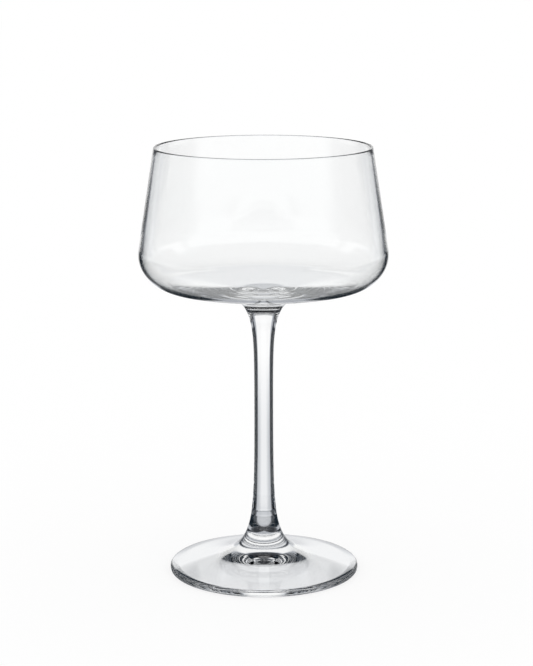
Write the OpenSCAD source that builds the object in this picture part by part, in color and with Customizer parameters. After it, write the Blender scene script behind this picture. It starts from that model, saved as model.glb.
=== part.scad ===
// Stemmed dessert glass: a blown bowl, a drawn stem and a pressed foot, fused end to end.
// Millimetres. The foot stands on z = 0 and the glass is round about the Z axis.

/* [Bowl] */
// Height from the table to the top of the rim
glass_height = 165; // [150:1:185]
// Outside diameter at the rim
rim_diameter = 82.6; // [74:0.2:92]
// Outside diameter at the widest part of the bowl
bowl_diameter = 95; // [88:0.5:108]
// Outside depth, from the rim down to the lowest point of the shallow bottom
bowl_depth = 57.3; // [48:0.1:68]
// Outside radius of the bend between the side and the bottom
bend_radius = 12.7; // [8:0.1:18]
// Outside radius of curvature of the shallow bottom
bottom_radius = 170; // [110:1:400]
// Radius of curvature of the inner floor
floor_radius = 340; // [200:1:900]
// Glass thickness at the rim
rim_wall = 1.0; // [0.7:0.05:1.6]
// Glass thickness at the widest part
side_wall = 1.6; // [1:0.05:2.2]
// Glass thickness of the floor at the centre
floor_wall = 3.4; // [2.5:0.1:6]
// Height of the boss under the bowl, from the bottom down to the stem
boss_height = 4.8; // [3.5:0.1:7]
// How far the boss spreads over the bottom
boss_spread = 4.9; // [3:0.1:9]

/* [Stem] */
// Diameter at the waist, the thinnest place
waist_diameter = 7.24; // [6:0.02:9]
// Diameter of the head, where the stem is fused to the boss
head_diameter = 13.9; // [11:0.1:18]
// Length over which the head tapers into the waist
head_taper = 6.1; // [4:0.1:9]
// Length over which the waist swells towards the foot
base_taper = 9.4; // [6:0.1:12]

/* [Foot] */
// Diameter of the foot
foot_diameter = 73; // [64:0.5:84]
// Thickness at the edge of the foot
edge_thickness = 2.6; // [2:0.1:4]
// Rounding of the two corners of the edge
edge_round = 1.0; // [0.3:0.05:1]
// Slope of the top of the foot, in degrees
foot_slope = 7.6; // [4:0.1:11]
// How far the top of the foot is domed above that slope
foot_dome = 0.4; // [0:0.05:0.8]
// Height of the seam where the stem is fused to the neck of the foot
seam_height = 22.1; // [18:0.1:28]
// Diameter of the glass at that seam
seam_diameter = 10; // [9:0.1:12]
// How far the neck spreads over the foot
neck_spread = 8.6; // [5:0.1:11]
// Depth of the faint groove at the seam
groove_depth = 0.06; // [0.02:0.01:0.2]
// Width of that groove
groove_width = 1.2; // [0.6:0.1:2]
// Width of the flat ring that the foot stands on
rest_width = 2.7; // [1:0.1:5]
// Height of the hollow under the middle of the foot
hollow_height = 4.5; // [1:0.1:5.5]
// How far out from the middle the cone of the hollow is rounded off
hollow_blunt = 3.3; // [1:0.1:8]

/* [Hidden] */
$fn = 128;
glass_colour = [0.88, 0.93, 0.95, 0.4];

rim_r = rim_diameter / 2;
widest_r = bowl_diameter / 2;
waist_r = waist_diameter / 2;
head_r = head_diameter / 2;
seam_r = seam_diameter / 2;
foot_r = foot_diameter / 2;

rim_z = glass_height - rim_wall / 2;
bottom_z = glass_height - bowl_depth;
floor_z = bottom_z + floor_wall;
head_z = bottom_z - boss_height;

corner_r = min(edge_round, 0.45 * edge_thickness);
rest_outer_r = foot_r - corner_r;
rest_inner_r = rest_outer_r - rest_width;

// Number of steps along each rounded stretch of an outline
rim_steps = 10;
bend_steps = 24;
dish_steps = 24;
flare_steps = 40;
stem_steps = 72;
corner_steps = 6;

// Points on a circle about [x, z], from one angle to another
function arc(x, z, r, from, to, steps) =
    [for (i = [0 : steps])
        let (a = from + (to - from) * i / steps)
        [x + r * cos(a), z + r * sin(a)]];

// Values from one end to the other, evenly spaced
function spread_over(from, to, steps) =
    [for (i = [0 : steps]) from + (to - from) * i / steps];

// Height on a dish of radius r, lowest at low_z on the axis, at the distance x from the axis
function dish_at(x, r, low_z) = low_z + r - sqrt(r * r - x * x);

// One skin of the bowl. The side runs from the rim, tangent to the bend, and the bend is tangent to the dish.
function bend_x(wide_r, bend_r) = wide_r - bend_r;
function bend_z(wide_r, bend_r, dish_r, low_z) =
    low_z + dish_r - sqrt(pow(dish_r - bend_r, 2) - pow(bend_x(wide_r, bend_r), 2));
function bend_start(x, z, top_r, top_z, bend_r) =
    atan2(top_z - z, top_r - x) - acos(bend_r / norm([top_r - x, top_z - z]));
function bend_end(x, bend_r, dish_r) = -acos(x / (dish_r - bend_r));
function side_and_bend(top_r, top_z, wide_r, bend_r, dish_r, low_z) =
    let (
        x = bend_x(wide_r, bend_r),
        z = bend_z(wide_r, bend_r, dish_r, low_z)
    )
    concat(
        [[top_r, top_z]],
        arc(x, z, bend_r, bend_start(x, z, top_r, top_z, bend_r), bend_end(x, bend_r, dish_r), bend_steps)
    );

// Flare of a neck or boss: 1 at the radius near, 0 at the radius far, steepest close to the stem
function flare_log(x, spread) = ln(1 + pow(spread / (x - waist_r), 2));
function flare(x, near, far, spread) =
    (flare_log(x, spread) - flare_log(far, spread)) / (flare_log(near, spread) - flare_log(far, spread));

// Outside of the bottom of the bowl, from the bend in to the boss
function bottom_at(x, far) =
    dish_at(x, bottom_radius, bottom_z)
    - (dish_at(head_r, bottom_radius, bottom_z) - head_z) * flare(x, head_r, far, boss_spread);

// Top of the foot, from its edge in to the neck
function foot_cone_at(x) =
    edge_thickness - corner_r + corner_r / cos(foot_slope) + (rest_outer_r - x) * tan(foot_slope);
function foot_dome_at(x) =
    let (across = (x - seam_r) / (rest_outer_r - seam_r))
    foot_dome * 4 * across * (1 - across);
function foot_top_at(x) =
    foot_cone_at(x) + foot_dome_at(x)
    + (seam_height - foot_cone_at(seam_r)) * flare(x, seam_r, rest_outer_r, neck_spread);

// Hollow under the foot, a cone with a rounded tip
function blunt_cone(x) = norm([x, hollow_blunt]) - hollow_blunt;
function hollow_at(x) = hollow_height * (1 - blunt_cone(x) / blunt_cone(rest_inner_r));

// Radius of the stem at a height
function stem_r_at(z) =
    waist_r
    + (head_r - waist_r) * exp((z - head_z) / head_taper)
    + (seam_r - waist_r) * exp((seam_height - z) / base_taper);

// How far the outline is sunk at a height, in the groove at the seam
function groove_at(z) = groove_depth * max(0, 1 - 2 * abs(z - seam_height) / groove_width);

// Blown bowl: outer skin, boss for the stem, inner skin and rounded rim
function bowl_outline() =
    let (
        inner_bend = bend_radius - side_wall,
        outer = side_and_bend(rim_r, rim_z, widest_r, bend_radius, bottom_radius, bottom_z),
        far = outer[len(outer) - 1].x,
        inner = side_and_bend(
            rim_r - rim_wall, rim_z, widest_r - side_wall, inner_bend, floor_radius, floor_z),
        floor_edge = inner[len(inner) - 1].x
    )
    concat(
        outer,
        [for (i = [1 : flare_steps])
            let (x = head_r + (far - head_r) * pow(1 - i / flare_steps, 2))
            [x, bottom_at(x, far)]],
        [[0, head_z]],
        [for (i = [0 : dish_steps - 1])
            let (x = floor_edge * i / dish_steps)
            [x, dish_at(x, floor_radius, floor_z)]],
        [for (i = [len(inner) - 1 : -1 : 1]) inner[i]],
        arc(rim_r - rim_wall / 2, rim_z, rim_wall / 2, 180, 0, rim_steps - 1)
    );

module bowl() {
    color(glass_colour) rotate_extrude() polygon(bowl_outline());
}

// Drawn stem: a solid rod, thinnest at the waist, with a flat end for each joint
module stem() {
    color(glass_colour) rotate_extrude() polygon(concat(
        [[0, seam_height]],
        [for (z = spread_over(seam_height, head_z, stem_steps))
            [stem_r_at(z) - groove_at(z), z]],
        [[0, head_z]]
    ));
}

// Pressed foot: a disc with a rounded edge, a neck for the stem and a hollow underneath
module foot() {
    color(glass_colour) rotate_extrude() polygon(concat(
        [for (x = spread_over(0, rest_inner_r, dish_steps)) [x, hollow_at(x)]],
        arc(rest_outer_r, corner_r, corner_r, -90, 0, corner_steps),
        arc(rest_outer_r, edge_thickness - corner_r, corner_r, 0, 90 - foot_slope, corner_steps),
        [for (i = [1 : flare_steps])
            let (
                x = seam_r + (rest_outer_r - seam_r) * pow(1 - i / flare_steps, 2),
                z = foot_top_at(x)
            )
            [x - groove_at(z), z]],
        [[0, seam_height]]
    ));
}

bowl();
stem();
foot();
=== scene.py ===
import math

import bmesh
import bpy
from mathutils import Matrix


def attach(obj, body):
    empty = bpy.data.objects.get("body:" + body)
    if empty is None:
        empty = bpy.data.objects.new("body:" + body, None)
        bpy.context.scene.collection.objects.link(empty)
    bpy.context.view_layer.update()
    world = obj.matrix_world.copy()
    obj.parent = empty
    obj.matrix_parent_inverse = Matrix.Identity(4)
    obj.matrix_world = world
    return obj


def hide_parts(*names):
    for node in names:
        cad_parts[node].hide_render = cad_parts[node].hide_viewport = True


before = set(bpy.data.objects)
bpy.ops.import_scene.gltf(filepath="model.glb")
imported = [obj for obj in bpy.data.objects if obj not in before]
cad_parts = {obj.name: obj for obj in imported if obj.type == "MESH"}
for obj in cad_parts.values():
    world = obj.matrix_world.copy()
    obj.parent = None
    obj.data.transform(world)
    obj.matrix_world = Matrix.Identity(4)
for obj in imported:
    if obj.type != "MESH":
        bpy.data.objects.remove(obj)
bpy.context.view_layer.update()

MM = 0.001
WHITE = (1.0, 1.0, 1.0, 1.0)
scene = bpy.context.scene

# Sizes of the glass in millimetres and degrees, the same as in the part's source
GLASS_HEIGHT = 165.0
RIM_R = 41.3
WIDEST_R = 47.5
BOWL_DEPTH = 57.3
BEND_R = 12.7
BOTTOM_R = 170.0
FLOOR_R = 340.0
RIM_WALL = 1.0
SIDE_WALL = 1.6
FLOOR_WALL = 3.4
BOSS_HEIGHT = 4.8
BOSS_SPREAD = 4.9
WAIST_R = 3.62
HEAD_R = 6.95
HEAD_TAPER = 6.1
BASE_TAPER = 9.4
FOOT_R = 36.5
EDGE_THICKNESS = 2.6
EDGE_ROUND = 1.0
FOOT_SLOPE = math.radians(7.6)
FOOT_DOME = 0.4
SEAM_HEIGHT = 22.1
SEAM_R = 5.0
NECK_SPREAD = 8.6
GROOVE_DEPTH = 0.06
GROOVE_WIDTH = 1.2
REST_WIDTH = 2.7
HOLLOW_HEIGHT = 4.5
HOLLOW_BLUNT = 3.3

RIM_Z = GLASS_HEIGHT - RIM_WALL / 2
BOTTOM_Z = GLASS_HEIGHT - BOWL_DEPTH
FLOOR_Z = BOTTOM_Z + FLOOR_WALL
HEAD_Z = BOTTOM_Z - BOSS_HEIGHT
REST_OUTER_R = FOOT_R - EDGE_ROUND
REST_INNER_R = REST_OUTER_R - REST_WIDTH

# How finely the glass is turned
STEPS_AROUND = 256
SIDE_STEPS = 16
BEND_STEPS = 56
DISH_STEPS = 80
FLARE_STEPS = 110
STEM_STEPS = 220
RIM_STEPS = 16
CORNER_STEPS = 12
SHARP_ANGLE = math.radians(30)

# Points nearer than this are one point, and lengths under the other are nothing, in millimetres
SAME_POINT = 1e-4
NOTHING = 1e-6

# Material slots of every glass piece
GLASS, JOINT = 0, 1

# Finish of the glass: its refraction, the detail of its cords, and where haze comes in along them
GLASS_IOR = 1.5
CORD_DETAIL = 3.0
CORD_ROUGHNESS = 0.55
HAZE_FROM = 0.45
HAZE_TO = 0.8

# Sockets of a Mix node that mixes colours
MIX_SHARE, MIX_FIRST, MIX_SECOND, MIX_RESULT = 0, 6, 7, 2


def placed(name, data):
    """A new object in the scene, at the origin."""
    thing = bpy.data.objects.new(name, data)
    scene.collection.objects.link(thing)
    return thing


def new_material(name):
    """A new material, with its nodes and its links."""
    material = bpy.data.materials.new(name)
    material.use_nodes = True
    return material, material.node_tree.nodes, material.node_tree.links


def arc(x, z, radius, start, end, steps):
    """Points on a circle about (x, z), from one angle to another."""
    angles = [start + (end - start) * i / steps for i in range(steps + 1)]
    return [(x + radius * math.cos(a), z + radius * math.sin(a)) for a in angles]


def dish_at(x, radius, low_z):
    """Height of a dish at the distance x from the axis."""
    return low_z + radius - math.sqrt(radius * radius - x * x)


def side_and_bend(top_r, wide_r, bend_r, dish_r, low_z):
    """One skin of the bowl: a side tangent to the bend, and the bend tangent to the dish."""
    x = wide_r - bend_r
    z = low_z + dish_r - math.sqrt((dish_r - bend_r) ** 2 - x * x)
    reach = math.hypot(top_r - x, RIM_Z - z)
    start = math.atan2(RIM_Z - z, top_r - x) - math.acos(bend_r / reach)
    end = -math.acos(x / (dish_r - bend_r))
    bend = arc(x, z, bend_r, start, end, BEND_STEPS)
    foot_x, foot_z = bend[0]
    side = []
    for i in range(SIDE_STEPS):
        along = i / SIDE_STEPS
        side.append((top_r + (foot_x - top_r) * along, RIM_Z + (foot_z - RIM_Z) * along))
    return side + bend


def flare(x, near, far, spread):
    """Flare of a neck or boss: 1 at the radius near, 0 at the radius far."""
    def rise(r):
        return math.log(1 + (spread / (r - WAIST_R)) ** 2)
    return (rise(x) - rise(far)) / (rise(near) - rise(far))


def closing_in(near, far, steps):
    """Radii from far in to near, closer together near the stem."""
    return [near + (far - near) * (1 - i / steps) ** 2 for i in range(1, steps + 1)]


def groove_at(z):
    """How far the outline is sunk at a height, in the groove at the seam."""
    return GROOVE_DEPTH * max(0.0, 1 - 2 * abs(z - SEAM_HEIGHT) / GROOVE_WIDTH)


def bowl_outline():
    """From the axis on the inner floor, up the inside, over the rim and down to the joint."""
    inner_wide, inner_bend = WIDEST_R - SIDE_WALL, BEND_R - SIDE_WALL
    inner = side_and_bend(RIM_R - RIM_WALL, inner_wide, inner_bend, FLOOR_R, FLOOR_Z)
    outer = side_and_bend(RIM_R, WIDEST_R, BEND_R, BOTTOM_R, BOTTOM_Z)
    floor_edge = inner[-1][0]
    far = outer[-1][0]
    floor_xs = [floor_edge * i / DISH_STEPS for i in range(DISH_STEPS)]
    floor = [(x, dish_at(x, FLOOR_R, FLOOR_Z)) for x in floor_xs]
    rim = arc(RIM_R - RIM_WALL / 2, RIM_Z, RIM_WALL / 2, math.pi, 0, RIM_STEPS)
    drop = dish_at(HEAD_R, BOTTOM_R, BOTTOM_Z) - HEAD_Z
    bottom = []
    for x in closing_in(HEAD_R, far, FLARE_STEPS):
        boss = drop * flare(x, HEAD_R, far, BOSS_SPREAD)
        bottom.append((x, dish_at(x, BOTTOM_R, BOTTOM_Z) - boss))
    return floor + inner[:0:-1] + rim + outer[1:] + bottom + [(0.0, HEAD_Z)]


def stem_outline():
    """From the axis on the upper joint, down the outside to the lower joint."""
    skin = []
    for i in range(STEM_STEPS + 1):
        z = HEAD_Z + (SEAM_HEIGHT - HEAD_Z) * i / STEM_STEPS
        head = (HEAD_R - WAIST_R) * math.exp((z - HEAD_Z) / HEAD_TAPER)
        base = (SEAM_R - WAIST_R) * math.exp((SEAM_HEIGHT - z) / BASE_TAPER)
        skin.append((WAIST_R + head + base - groove_at(z), z))
    return [(0.0, HEAD_Z)] + skin + [(0.0, SEAM_HEIGHT)]


def blunt_cone(x):
    """Fall of a cone with a rounded tip, at the distance x from its axis."""
    return math.hypot(x, HOLLOW_BLUNT) - HOLLOW_BLUNT


def foot_outline():
    """From the axis on the joint, down the neck, out to the edge and back under the foot."""
    def cone_at(x):
        crown = EDGE_THICKNESS - EDGE_ROUND + EDGE_ROUND / math.cos(FOOT_SLOPE)
        return crown + (REST_OUTER_R - x) * math.tan(FOOT_SLOPE)
    top = []
    for x in closing_in(SEAM_R, REST_OUTER_R, FLARE_STEPS)[::-1]:
        across = (x - SEAM_R) / (REST_OUTER_R - SEAM_R)
        dome = FOOT_DOME * 4 * across * (1 - across)
        neck = (SEAM_HEIGHT - cone_at(SEAM_R)) * flare(x, SEAM_R, REST_OUTER_R, NECK_SPREAD)
        z = cone_at(x) + dome + neck
        top.append((x - groove_at(z), z))
    quarter = math.pi / 2
    upper_z = EDGE_THICKNESS - EDGE_ROUND
    upper = arc(REST_OUTER_R, upper_z, EDGE_ROUND, quarter - FOOT_SLOPE, 0, CORNER_STEPS)
    lower = arc(REST_OUTER_R, EDGE_ROUND, EDGE_ROUND, 0, -quarter, CORNER_STEPS)
    hollow = []
    for i in range(DISH_STEPS):
        x = REST_INNER_R * (1 - i / DISH_STEPS)
        hollow.append((x, HOLLOW_HEIGHT * (1 - blunt_cone(x) / blunt_cone(REST_INNER_R))))
    return [(0.0, SEAM_HEIGHT)] + top + upper + lower + hollow + [(0.0, HOLLOW_HEIGHT)]


def turned(name, outline, joint_heights):
    """A closed piece turned about the Z axis from an outline that starts and ends on the axis."""
    outline = [p for i, p in enumerate(outline) if i == 0 or math.dist(p, outline[i - 1]) > SAME_POINT]
    around = [2 * math.pi * k / STEPS_AROUND for k in range(STEPS_AROUND)]
    bm = bmesh.new()
    rings = []
    for r, z in outline:
        if r < NOTHING:
            ring = [(0, 0, z * MM)]
        else:
            ring = [(r * math.cos(a) * MM, r * math.sin(a) * MM, z * MM) for a in around]
        rings.append([bm.verts.new(point) for point in ring])
    for i in range(len(outline) - 1):
        first, second = rings[i], rings[i + 1]
        z, next_z = outline[i][1], outline[i + 1][1]
        flat = abs(z - next_z) < NOTHING
        joint = flat and any(abs(z - height) < NOTHING for height in joint_heights)
        for k in range(STEPS_AROUND):
            n = (k + 1) % STEPS_AROUND
            if len(first) == 1:
                corners = (first[0], second[k], second[n])
            elif len(second) == 1:
                corners = (first[k], second[0], first[n])
            else:
                corners = (first[k], second[k], second[n], first[n])
            face = bm.faces.new(corners)
            face.smooth = True
            face.material_index = JOINT if joint else GLASS
    bmesh.ops.recalc_face_normals(bm, faces=bm.faces)
    mesh = bpy.data.meshes.new(name)
    bm.to_mesh(mesh)
    bm.free()
    mesh.set_sharp_from_angle(angle=SHARP_ANGLE)
    return placed(name, mesh)


def glass_finish():
    """Node group: faint cords in the melt, with a little haze and ripple where they lie."""
    group = bpy.data.node_groups.new("glass_finish", "ShaderNodeTree")
    face = group.interface
    for label, kind, value in (
        ("Stretch", "NodeSocketVector", (1.0, 1.0, 1.0)),
        ("Scale", "NodeSocketFloat", 60.0),
        ("Clear", "NodeSocketColor", WHITE),
        ("Cord", "NodeSocketColor", (0.98, 0.99, 0.99, 1.0)),
        ("Polish", "NodeSocketFloat", 0.0),
        ("Haze", "NodeSocketFloat", 0.01),
    ):
        socket = face.new_socket(name=label, in_out="INPUT", socket_type=kind)
        socket.default_value = value
    for label, kind in (
        ("Tint", "NodeSocketColor"),
        ("Roughness", "NodeSocketFloat"),
        ("Ripple", "NodeSocketFloat"),
    ):
        face.new_socket(name=label, in_out="OUTPUT", socket_type=kind)
    nodes, links = group.nodes, group.links
    start = nodes.new("NodeGroupInput")
    end = nodes.new("NodeGroupOutput")
    place = nodes.new("ShaderNodeTexCoord")
    stretch = nodes.new("ShaderNodeVectorMath")
    stretch.operation = "MULTIPLY"
    links.new(place.outputs["Object"], stretch.inputs[0])
    links.new(start.outputs["Stretch"], stretch.inputs[1])
    cords = nodes.new("ShaderNodeTexNoise")
    cords.inputs["Detail"].default_value = CORD_DETAIL
    cords.inputs["Roughness"].default_value = CORD_ROUGHNESS
    links.new(stretch.outputs[0], cords.inputs["Vector"])
    links.new(start.outputs["Scale"], cords.inputs["Scale"])
    tint = nodes.new("ShaderNodeMix")
    tint.data_type = "RGBA"
    links.new(cords.outputs["Fac"], tint.inputs[MIX_SHARE])
    links.new(start.outputs["Clear"], tint.inputs[MIX_FIRST])
    links.new(start.outputs["Cord"], tint.inputs[MIX_SECOND])
    haze = nodes.new("ShaderNodeMapRange")
    haze.inputs["From Min"].default_value = HAZE_FROM
    haze.inputs["From Max"].default_value = HAZE_TO
    links.new(cords.outputs["Fac"], haze.inputs["Value"])
    links.new(start.outputs["Polish"], haze.inputs["To Min"])
    links.new(start.outputs["Haze"], haze.inputs["To Max"])
    links.new(tint.outputs[MIX_RESULT], end.inputs["Tint"])
    links.new(haze.outputs["Result"], end.inputs["Roughness"])
    links.new(cords.outputs["Fac"], end.inputs["Ripple"])
    return group


def glass(name, finish, stretch, scale, ripple):
    """Clear glass whose faint cords run the way that the piece was worked. The ripple is in millimetres."""
    material, nodes, links = new_material(name)
    shader = nodes["Principled BSDF"]
    shader.inputs["Transmission Weight"].default_value = 1.0
    shader.inputs["IOR"].default_value = GLASS_IOR
    cords = nodes.new("ShaderNodeGroup")
    cords.node_tree = finish
    cords.inputs["Stretch"].default_value = stretch
    cords.inputs["Scale"].default_value = scale
    bump = nodes.new("ShaderNodeBump")
    bump.inputs["Strength"].default_value = 1.0
    bump.inputs["Distance"].default_value = ripple * MM
    links.new(cords.outputs["Ripple"], bump.inputs["Height"])
    links.new(cords.outputs["Tint"], shader.inputs["Base Color"])
    links.new(cords.outputs["Roughness"], shader.inputs["Roughness"])
    links.new(bump.outputs["Normal"], shader.inputs["Normal"])
    return material


def fused_joint():
    """The inside of a joint, where the glass has run together and nothing shows."""
    material, nodes, _ = new_material("fused_joint")
    nodes["Principled BSDF"].inputs["Alpha"].default_value = 0.0
    return material


def panel(name, corners, faces, material):
    """A thin thing of the studio, from its corners in millimetres."""
    mesh = bpy.data.meshes.new(name)
    mesh.from_pydata([[c * MM for c in corner] for corner in corners], [], faces)
    mesh.materials.append(material)
    thing = placed(name, mesh)
    return thing


# The glass
finish = glass_finish()
joint = fused_joint()
bowl_glass = glass("blown_bowl_glass", finish, stretch=(1.0, 1.0, 0.4), scale=45.0, ripple=0.0004)
stem_glass = glass("drawn_stem_glass", finish, stretch=(1.0, 1.0, 0.1), scale=260.0, ripple=0.001)
foot_glass = glass("pressed_foot_glass", finish, stretch=(1.0, 1.0, 1.0), scale=90.0, ripple=0.001)
for node, outline, material, joints in (
    ("bowl", bowl_outline(), bowl_glass, (HEAD_Z,)),
    ("stem", stem_outline(), stem_glass, (HEAD_Z, SEAM_HEIGHT)),
    ("foot", foot_outline(), foot_glass, (SEAM_HEIGHT,)),
):
    piece = turned("glass_" + node, outline, joints)
    piece.data.materials.append(material)
    piece.data.materials.append(joint)
    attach(piece, "root")
    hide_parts(node)

# Camera at the photograph's viewing angle, for a picture of 533 by 666, with its sizes in millimetres
PICTURE_HEIGHT = 666.0
FOCAL_PIXELS = 2021.1
SHIFT_PIXELS = 2.9
SENSOR_WIDTH = 36.0
CAMERA_BACK = 756.0
CAMERA_UP = 249.7
CAMERA_DIP = math.radians(11.669)
CAMERA_ROLL = math.radians(-0.12)
NEAREST_SEEN = 10.0
FARTHEST_SEEN = 100000.0
camera = placed("camera", bpy.data.cameras.new("camera"))
camera.data.sensor_width = SENSOR_WIDTH
camera.data.lens = FOCAL_PIXELS / PICTURE_HEIGHT * SENSOR_WIDTH
camera.data.shift_x = SHIFT_PIXELS / PICTURE_HEIGHT
camera.data.clip_start = NEAREST_SEEN * MM
camera.data.clip_end = FARTHEST_SEEN * MM
camera.matrix_world = (
    Matrix.Translation((0.0, -CAMERA_BACK * MM, CAMERA_UP * MM))
    @ Matrix.Rotation(math.pi / 2 - CAMERA_DIP, 4, "X")
    @ Matrix.Rotation(CAMERA_ROLL, 4, "Z")
)
scene.camera = camera

# White studio. To the camera the floor is mostly lit from within, which leaves only a faint shadow on it.
FLOOR_HALF = 4000.0
FLOOR_GLOW = 0.78
world = bpy.data.worlds.new("studio")
world.use_nodes = True
studio_light = world.node_tree.nodes["Background"]
studio_light.inputs["Color"].default_value = WHITE
studio_light.inputs["Strength"].default_value = 1.0
scene.world = world


def white_table():
    """A plain matt white table top, partly lit from within for the camera."""
    material, nodes, links = new_material("white_table")
    shader = nodes["Principled BSDF"]
    shader.inputs["Base Color"].default_value = WHITE
    shader.inputs["Roughness"].default_value = 1.0
    shader.inputs["Specular IOR Level"].default_value = 0.0
    path = nodes.new("ShaderNodeLightPath")
    share = nodes.new("ShaderNodeMath")
    share.operation = "MULTIPLY"
    share.inputs[1].default_value = FLOOR_GLOW
    links.new(path.outputs["Is Camera Ray"], share.inputs[0])
    glow = nodes.new("ShaderNodeEmission")
    glow.inputs["Strength"].default_value = 1.0
    mix = nodes.new("ShaderNodeMixShader")
    links.new(share.outputs[0], mix.inputs[0])
    links.new(shader.outputs[0], mix.inputs[1])
    links.new(glow.outputs[0], mix.inputs[2])
    links.new(mix.outputs[0], nodes["Material Output"].inputs["Surface"])
    return material


floor_signs = ((-1, -1), (1, -1), (1, 1), (-1, 1))
floor_corners = [(x * FLOOR_HALF, y * FLOOR_HALF, 0) for x, y in floor_signs]
floor = panel("floor", floor_corners, [range(len(floor_corners))], white_table())
floor.visible_transmission = False
floor.visible_glossy = False

# Light tent round the glass. It is white behind the glass and in front, grey beside it and dark overhead.
# Each patch paints over those before it: turn from straight behind, height above the level, and light.
# Turn and height are in degrees, each a start, an end, and the width over which the patch fades there.
TENT_R = 450.0
TENT_Z = 80.0
TENT_STEPS_AROUND = 64
TENT_STEPS_UP = 32
TENT_LIGHT = 0.1
TENT_PATCHES = (
    ("sides", (27, 200, 4), (-26, 33, 7), 0.45),
    ("front", (58, 200, 12), (-26, 33, 7), 1.0),
    ("low_front", (100, 200, 8), (-46, -20, 4), 1.0),
    ("low_sides", (58, 100, 8), (-57, -28, 4), 0.6),
    ("upper_sides", (31, 72, 3), (13, 42, 5), 0.03),
    ("upper_front", (94, 130, 6), (30, 50, 5), 0.03),
    ("upper", (-10, 200, 5), (38, 100, 8), 0.05),
    ("top", (-10, 200, 5), (52, 100, 8), 0.01),
    ("under", (-10, 200, 5), (-100, -60, 4), 0.05),
    ("side_flag", (28, 56, 3), (-43, -8, 4), 0.01),
    ("back_floor", (-10, 26, 3), (-100, -20, 6), 0.42),
    ("back_low", (-10, 26, 3), (-33, 0, 5), 0.86),
    ("back_low_sides", (16, 30, 8), (-36, -12, 3), 0.6),
    ("back", (-10, 26, 3), (-14, 30, 5), 1.0),
)
TENT_SHADE = (0.91, 0.98, 1.11, 1.0)


def number_nodes(material):
    """A maker of number nodes in a material, from a kind, values or sockets, and settings."""
    nodes, links = material.node_tree.nodes, material.node_tree.links

    def number(kind, *values, **settings):
        node = nodes.new("ShaderNode" + kind)
        for key, value in settings.items():
            setattr(node, key, value)
        for socket, value in zip(node.inputs, values):
            if isinstance(value, (int, float)):
                socket.default_value = value
            else:
                links.new(value, socket)
        return node.outputs[0]
    return number


def edge(number, value, at, fade):
    """A soft step from 0 up to 1."""
    low, high = at - fade, at + fade
    return number("MapRange", value, low, high, 0.0, 1.0, interpolation_type="SMOOTHSTEP")


def between(number, value, low, high, low_fade, high_fade):
    """1 between two values and 0 outside them, with soft edges."""
    above = edge(number, value, low, low_fade)
    below = number("Math", 1.0, edge(number, value, high, high_fade), operation="SUBTRACT")
    return number("Math", above, below, operation="MULTIPLY")


def blend(number, mask, below, level):
    """What a patch leaves of the light below it, and its own light."""
    left = number("Math", 1.0, mask, operation="SUBTRACT")
    kept = number("Math", below, left, operation="MULTIPLY")
    return number("Math", mask, level, kept, operation="MULTIPLY_ADD")


def place_parts(nodes, links):
    """The three parts of a place in the thing's own axes."""
    place = nodes.new("ShaderNodeTexCoord")
    parts = nodes.new("ShaderNodeSeparateXYZ")
    links.new(place.outputs["Object"], parts.inputs[0])
    return parts.outputs


def turn_from_behind(number, parts):
    """Degrees that a place lies round the glass from straight behind it."""
    turn = number("Math", parts[0], parts[1], operation="ARCTAN2")
    return number("Math", number("Math", turn, operation="ABSOLUTE"), operation="DEGREES")


def tent_light():
    """Material of the light tent, painted by the direction from its middle."""
    material, nodes, links = new_material("tent_light")
    nodes.clear()
    number = number_nodes(material)
    parts = place_parts(nodes, links)
    turn = turn_from_behind(number, parts)
    rise = number("Math", parts[2], TENT_R * MM, operation="DIVIDE")
    height = number("Math", number("Math", rise, operation="ARCSINE"), operation="DEGREES")
    light = TENT_LIGHT
    for _, (first, last, turn_fade), (low, high, height_fade), level in TENT_PATCHES:
        across = between(number, turn, first, last, turn_fade, turn_fade)
        upright = between(number, height, low, high, height_fade, height_fade)
        mask = number("Math", across, upright, operation="MULTIPLY")
        light = blend(number, mask, light, level)
    tint = nodes.new("ShaderNodeMix")
    tint.data_type = "RGBA"
    links.new(light, tint.inputs[MIX_SHARE])
    tint.inputs[MIX_FIRST].default_value = TENT_SHADE
    tint.inputs[MIX_SECOND].default_value = WHITE
    glow = nodes.new("ShaderNodeEmission")
    links.new(tint.outputs[MIX_RESULT], glow.inputs["Color"])
    links.new(light, glow.inputs["Strength"])
    end = nodes.new("ShaderNodeOutputMaterial")
    links.new(glow.outputs[0], end.inputs["Surface"])
    material.cycles.emission_sampling = "NONE"
    return material


def light_tent():
    """The tent, a ball round the glass that is lit from within."""
    bm = bmesh.new()
    bmesh.ops.create_uvsphere(
        bm, u_segments=TENT_STEPS_AROUND, v_segments=TENT_STEPS_UP, radius=TENT_R * MM
    )
    mesh = bpy.data.meshes.new("light_tent")
    bm.to_mesh(mesh)
    bm.free()
    mesh.materials.append(tent_light())
    tent = placed("light_tent", mesh)
    tent.location = (0.0, 0.0, TENT_Z * MM)
    return tent


tent = light_tent()

# Dark cards stand in pairs about the glass, left and right, and leave a gap behind it and in front.
# The edge and line cards draw the sides of the bowl, the near and far ones the stem, the foot and the bend.
# The front ones darken the knuckle of the foot.
# Each has its distance, its turn from straight behind in degrees, and its height.
# Turn and height are each a start, an end, and the widths over which the card fades at both.
CARDS = (
    ("edge_card", 62.0, (66, 71, 12, 4), (98, 165, 6, 6)),
    ("near_card", 62.0, (28, 84, 2, 16), (25, 92, 3, 4)),
    ("line_card", 200.0, (34, 41, 2, 2), (100, 134, 4, 6)),
    ("far_card", 200.0, (32, 92, 2, 16), (-70, 110, 8, 10)),
    ("front_card", 80.0, (100, 150, 6, 6), (-80, 66, 6, 6)),
)
CARD_STEPS = 24
CARD_COLOUR = (0.012, 0.019, 0.027, 1.0)


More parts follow.
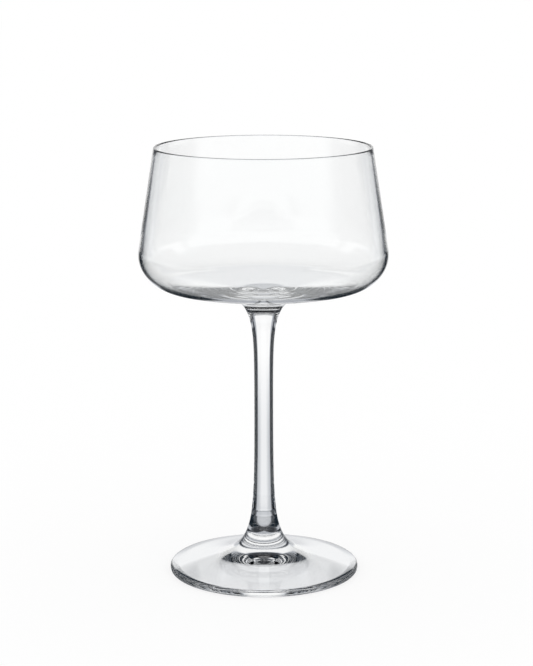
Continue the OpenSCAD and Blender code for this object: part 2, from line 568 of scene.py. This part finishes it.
def card_black(name, turns, heights):
    """Material of a dark card, which fades out at its edges."""
    material, nodes, links = new_material(name)
    nodes.clear()
    number = number_nodes(material)
    parts = place_parts(nodes, links)
    across = between(number, turn_from_behind(number, parts), *turns)
    upright = between(number, number("Math", parts[2], MM, operation="DIVIDE"), *heights)
    dark = nodes.new("ShaderNodeBsdfDiffuse")
    dark.inputs["Color"].default_value = CARD_COLOUR
    mix = nodes.new("ShaderNodeMixShader")
    links.new(number("Math", across, upright, operation="MULTIPLY"), mix.inputs[0])
    links.new(nodes.new("ShaderNodeBsdfTransparent").outputs[0], mix.inputs[1])
    links.new(dark.outputs[0], mix.inputs[2])
    end = nodes.new("ShaderNodeOutputMaterial")
    links.new(mix.outputs[0], end.inputs["Surface"])
    return material


def faded_ends(start, end, start_fade, end_fade):
    """Where a card ends, past the widths over which it fades."""
    return start - start_fade, end + end_fade


def card_pair(name, radius, turns, heights):
    """A pair of upright cards in one mesh, curved about the axis of the glass, left and right of it."""
    first, last = faded_ends(*turns)
    low, high = faded_ends(*heights)
    corners, faces = [], []
    for side in (-1, 1):
        start = len(corners)
        for i in range(CARD_STEPS + 1):
            turn = math.radians(first + (last - first) * i / CARD_STEPS)
            x, y = side * radius * math.sin(turn), radius * math.cos(turn)
            corners += [(x, y, z) for z in (low, high)]
        for k in range(start, len(corners) - 2, 2):
            faces.append((k, k + 1, k + 3, k + 2))
    return panel(name, corners, faces, card_black(name, turns, heights))


cards = [card_pair(*card) for card in CARDS]


def stand_for(name, things, kind, axis, upright):
    """A stand in the middle of the glass that turns things with the camera."""
    stand = placed(name, None)
    stand.location = (0.0, 0.0, TENT_Z * MM)
    facing = stand.constraints.new(kind)
    facing.target = camera
    facing.track_axis = "TRACK_NEGATIVE_Y"
    setattr(facing, axis, upright)
    bpy.context.view_layer.update()
    for thing in things:
        thing.parent = stand
        thing.matrix_parent_inverse = stand.matrix_world.inverted()
    return stand


# The tent and the cards turn with the camera, as if they were carried round the glass in a studio.
# Only the tent also tips with it. The cards stay upright, and are let down out of the tent for a high
# camera: they start down at the first of these heights of the camera, and have dropped at the second.
LET_DOWN_START = 320.0
LET_DOWN_END = 420.0
LET_DOWN_DROP = 600.0
for thing in [tent] + cards:
    thing.visible_camera = False
    thing.visible_diffuse = False
    thing.visible_shadow = False
stand_for("tent_stand", [tent], "TRACK_TO", "up_axis", "UP_Z")
card_stand = stand_for("card_stand", cards, "LOCKED_TRACK", "lock_axis", "LOCK_Z")
let_down = card_stand.constraints.new("TRANSFORM")
let_down.target = camera
let_down.from_min_z = LET_DOWN_START * MM
let_down.from_max_z = LET_DOWN_END * MM
let_down.map_to_z_from = "Z"
let_down.to_max_z = -LET_DOWN_DROP * MM

# Light goes through many skins of glass before it reaches the tent
BOUNCES = 32
scene.view_settings.view_transform = "Standard"
scene.cycles.max_bounces = BOUNCES
scene.cycles.transmission_bounces = BOUNCES
scene.cycles.glossy_bounces = BOUNCES
scene.cycles.transparent_max_bounces = BOUNCES

bpy.context.view_layer.update()
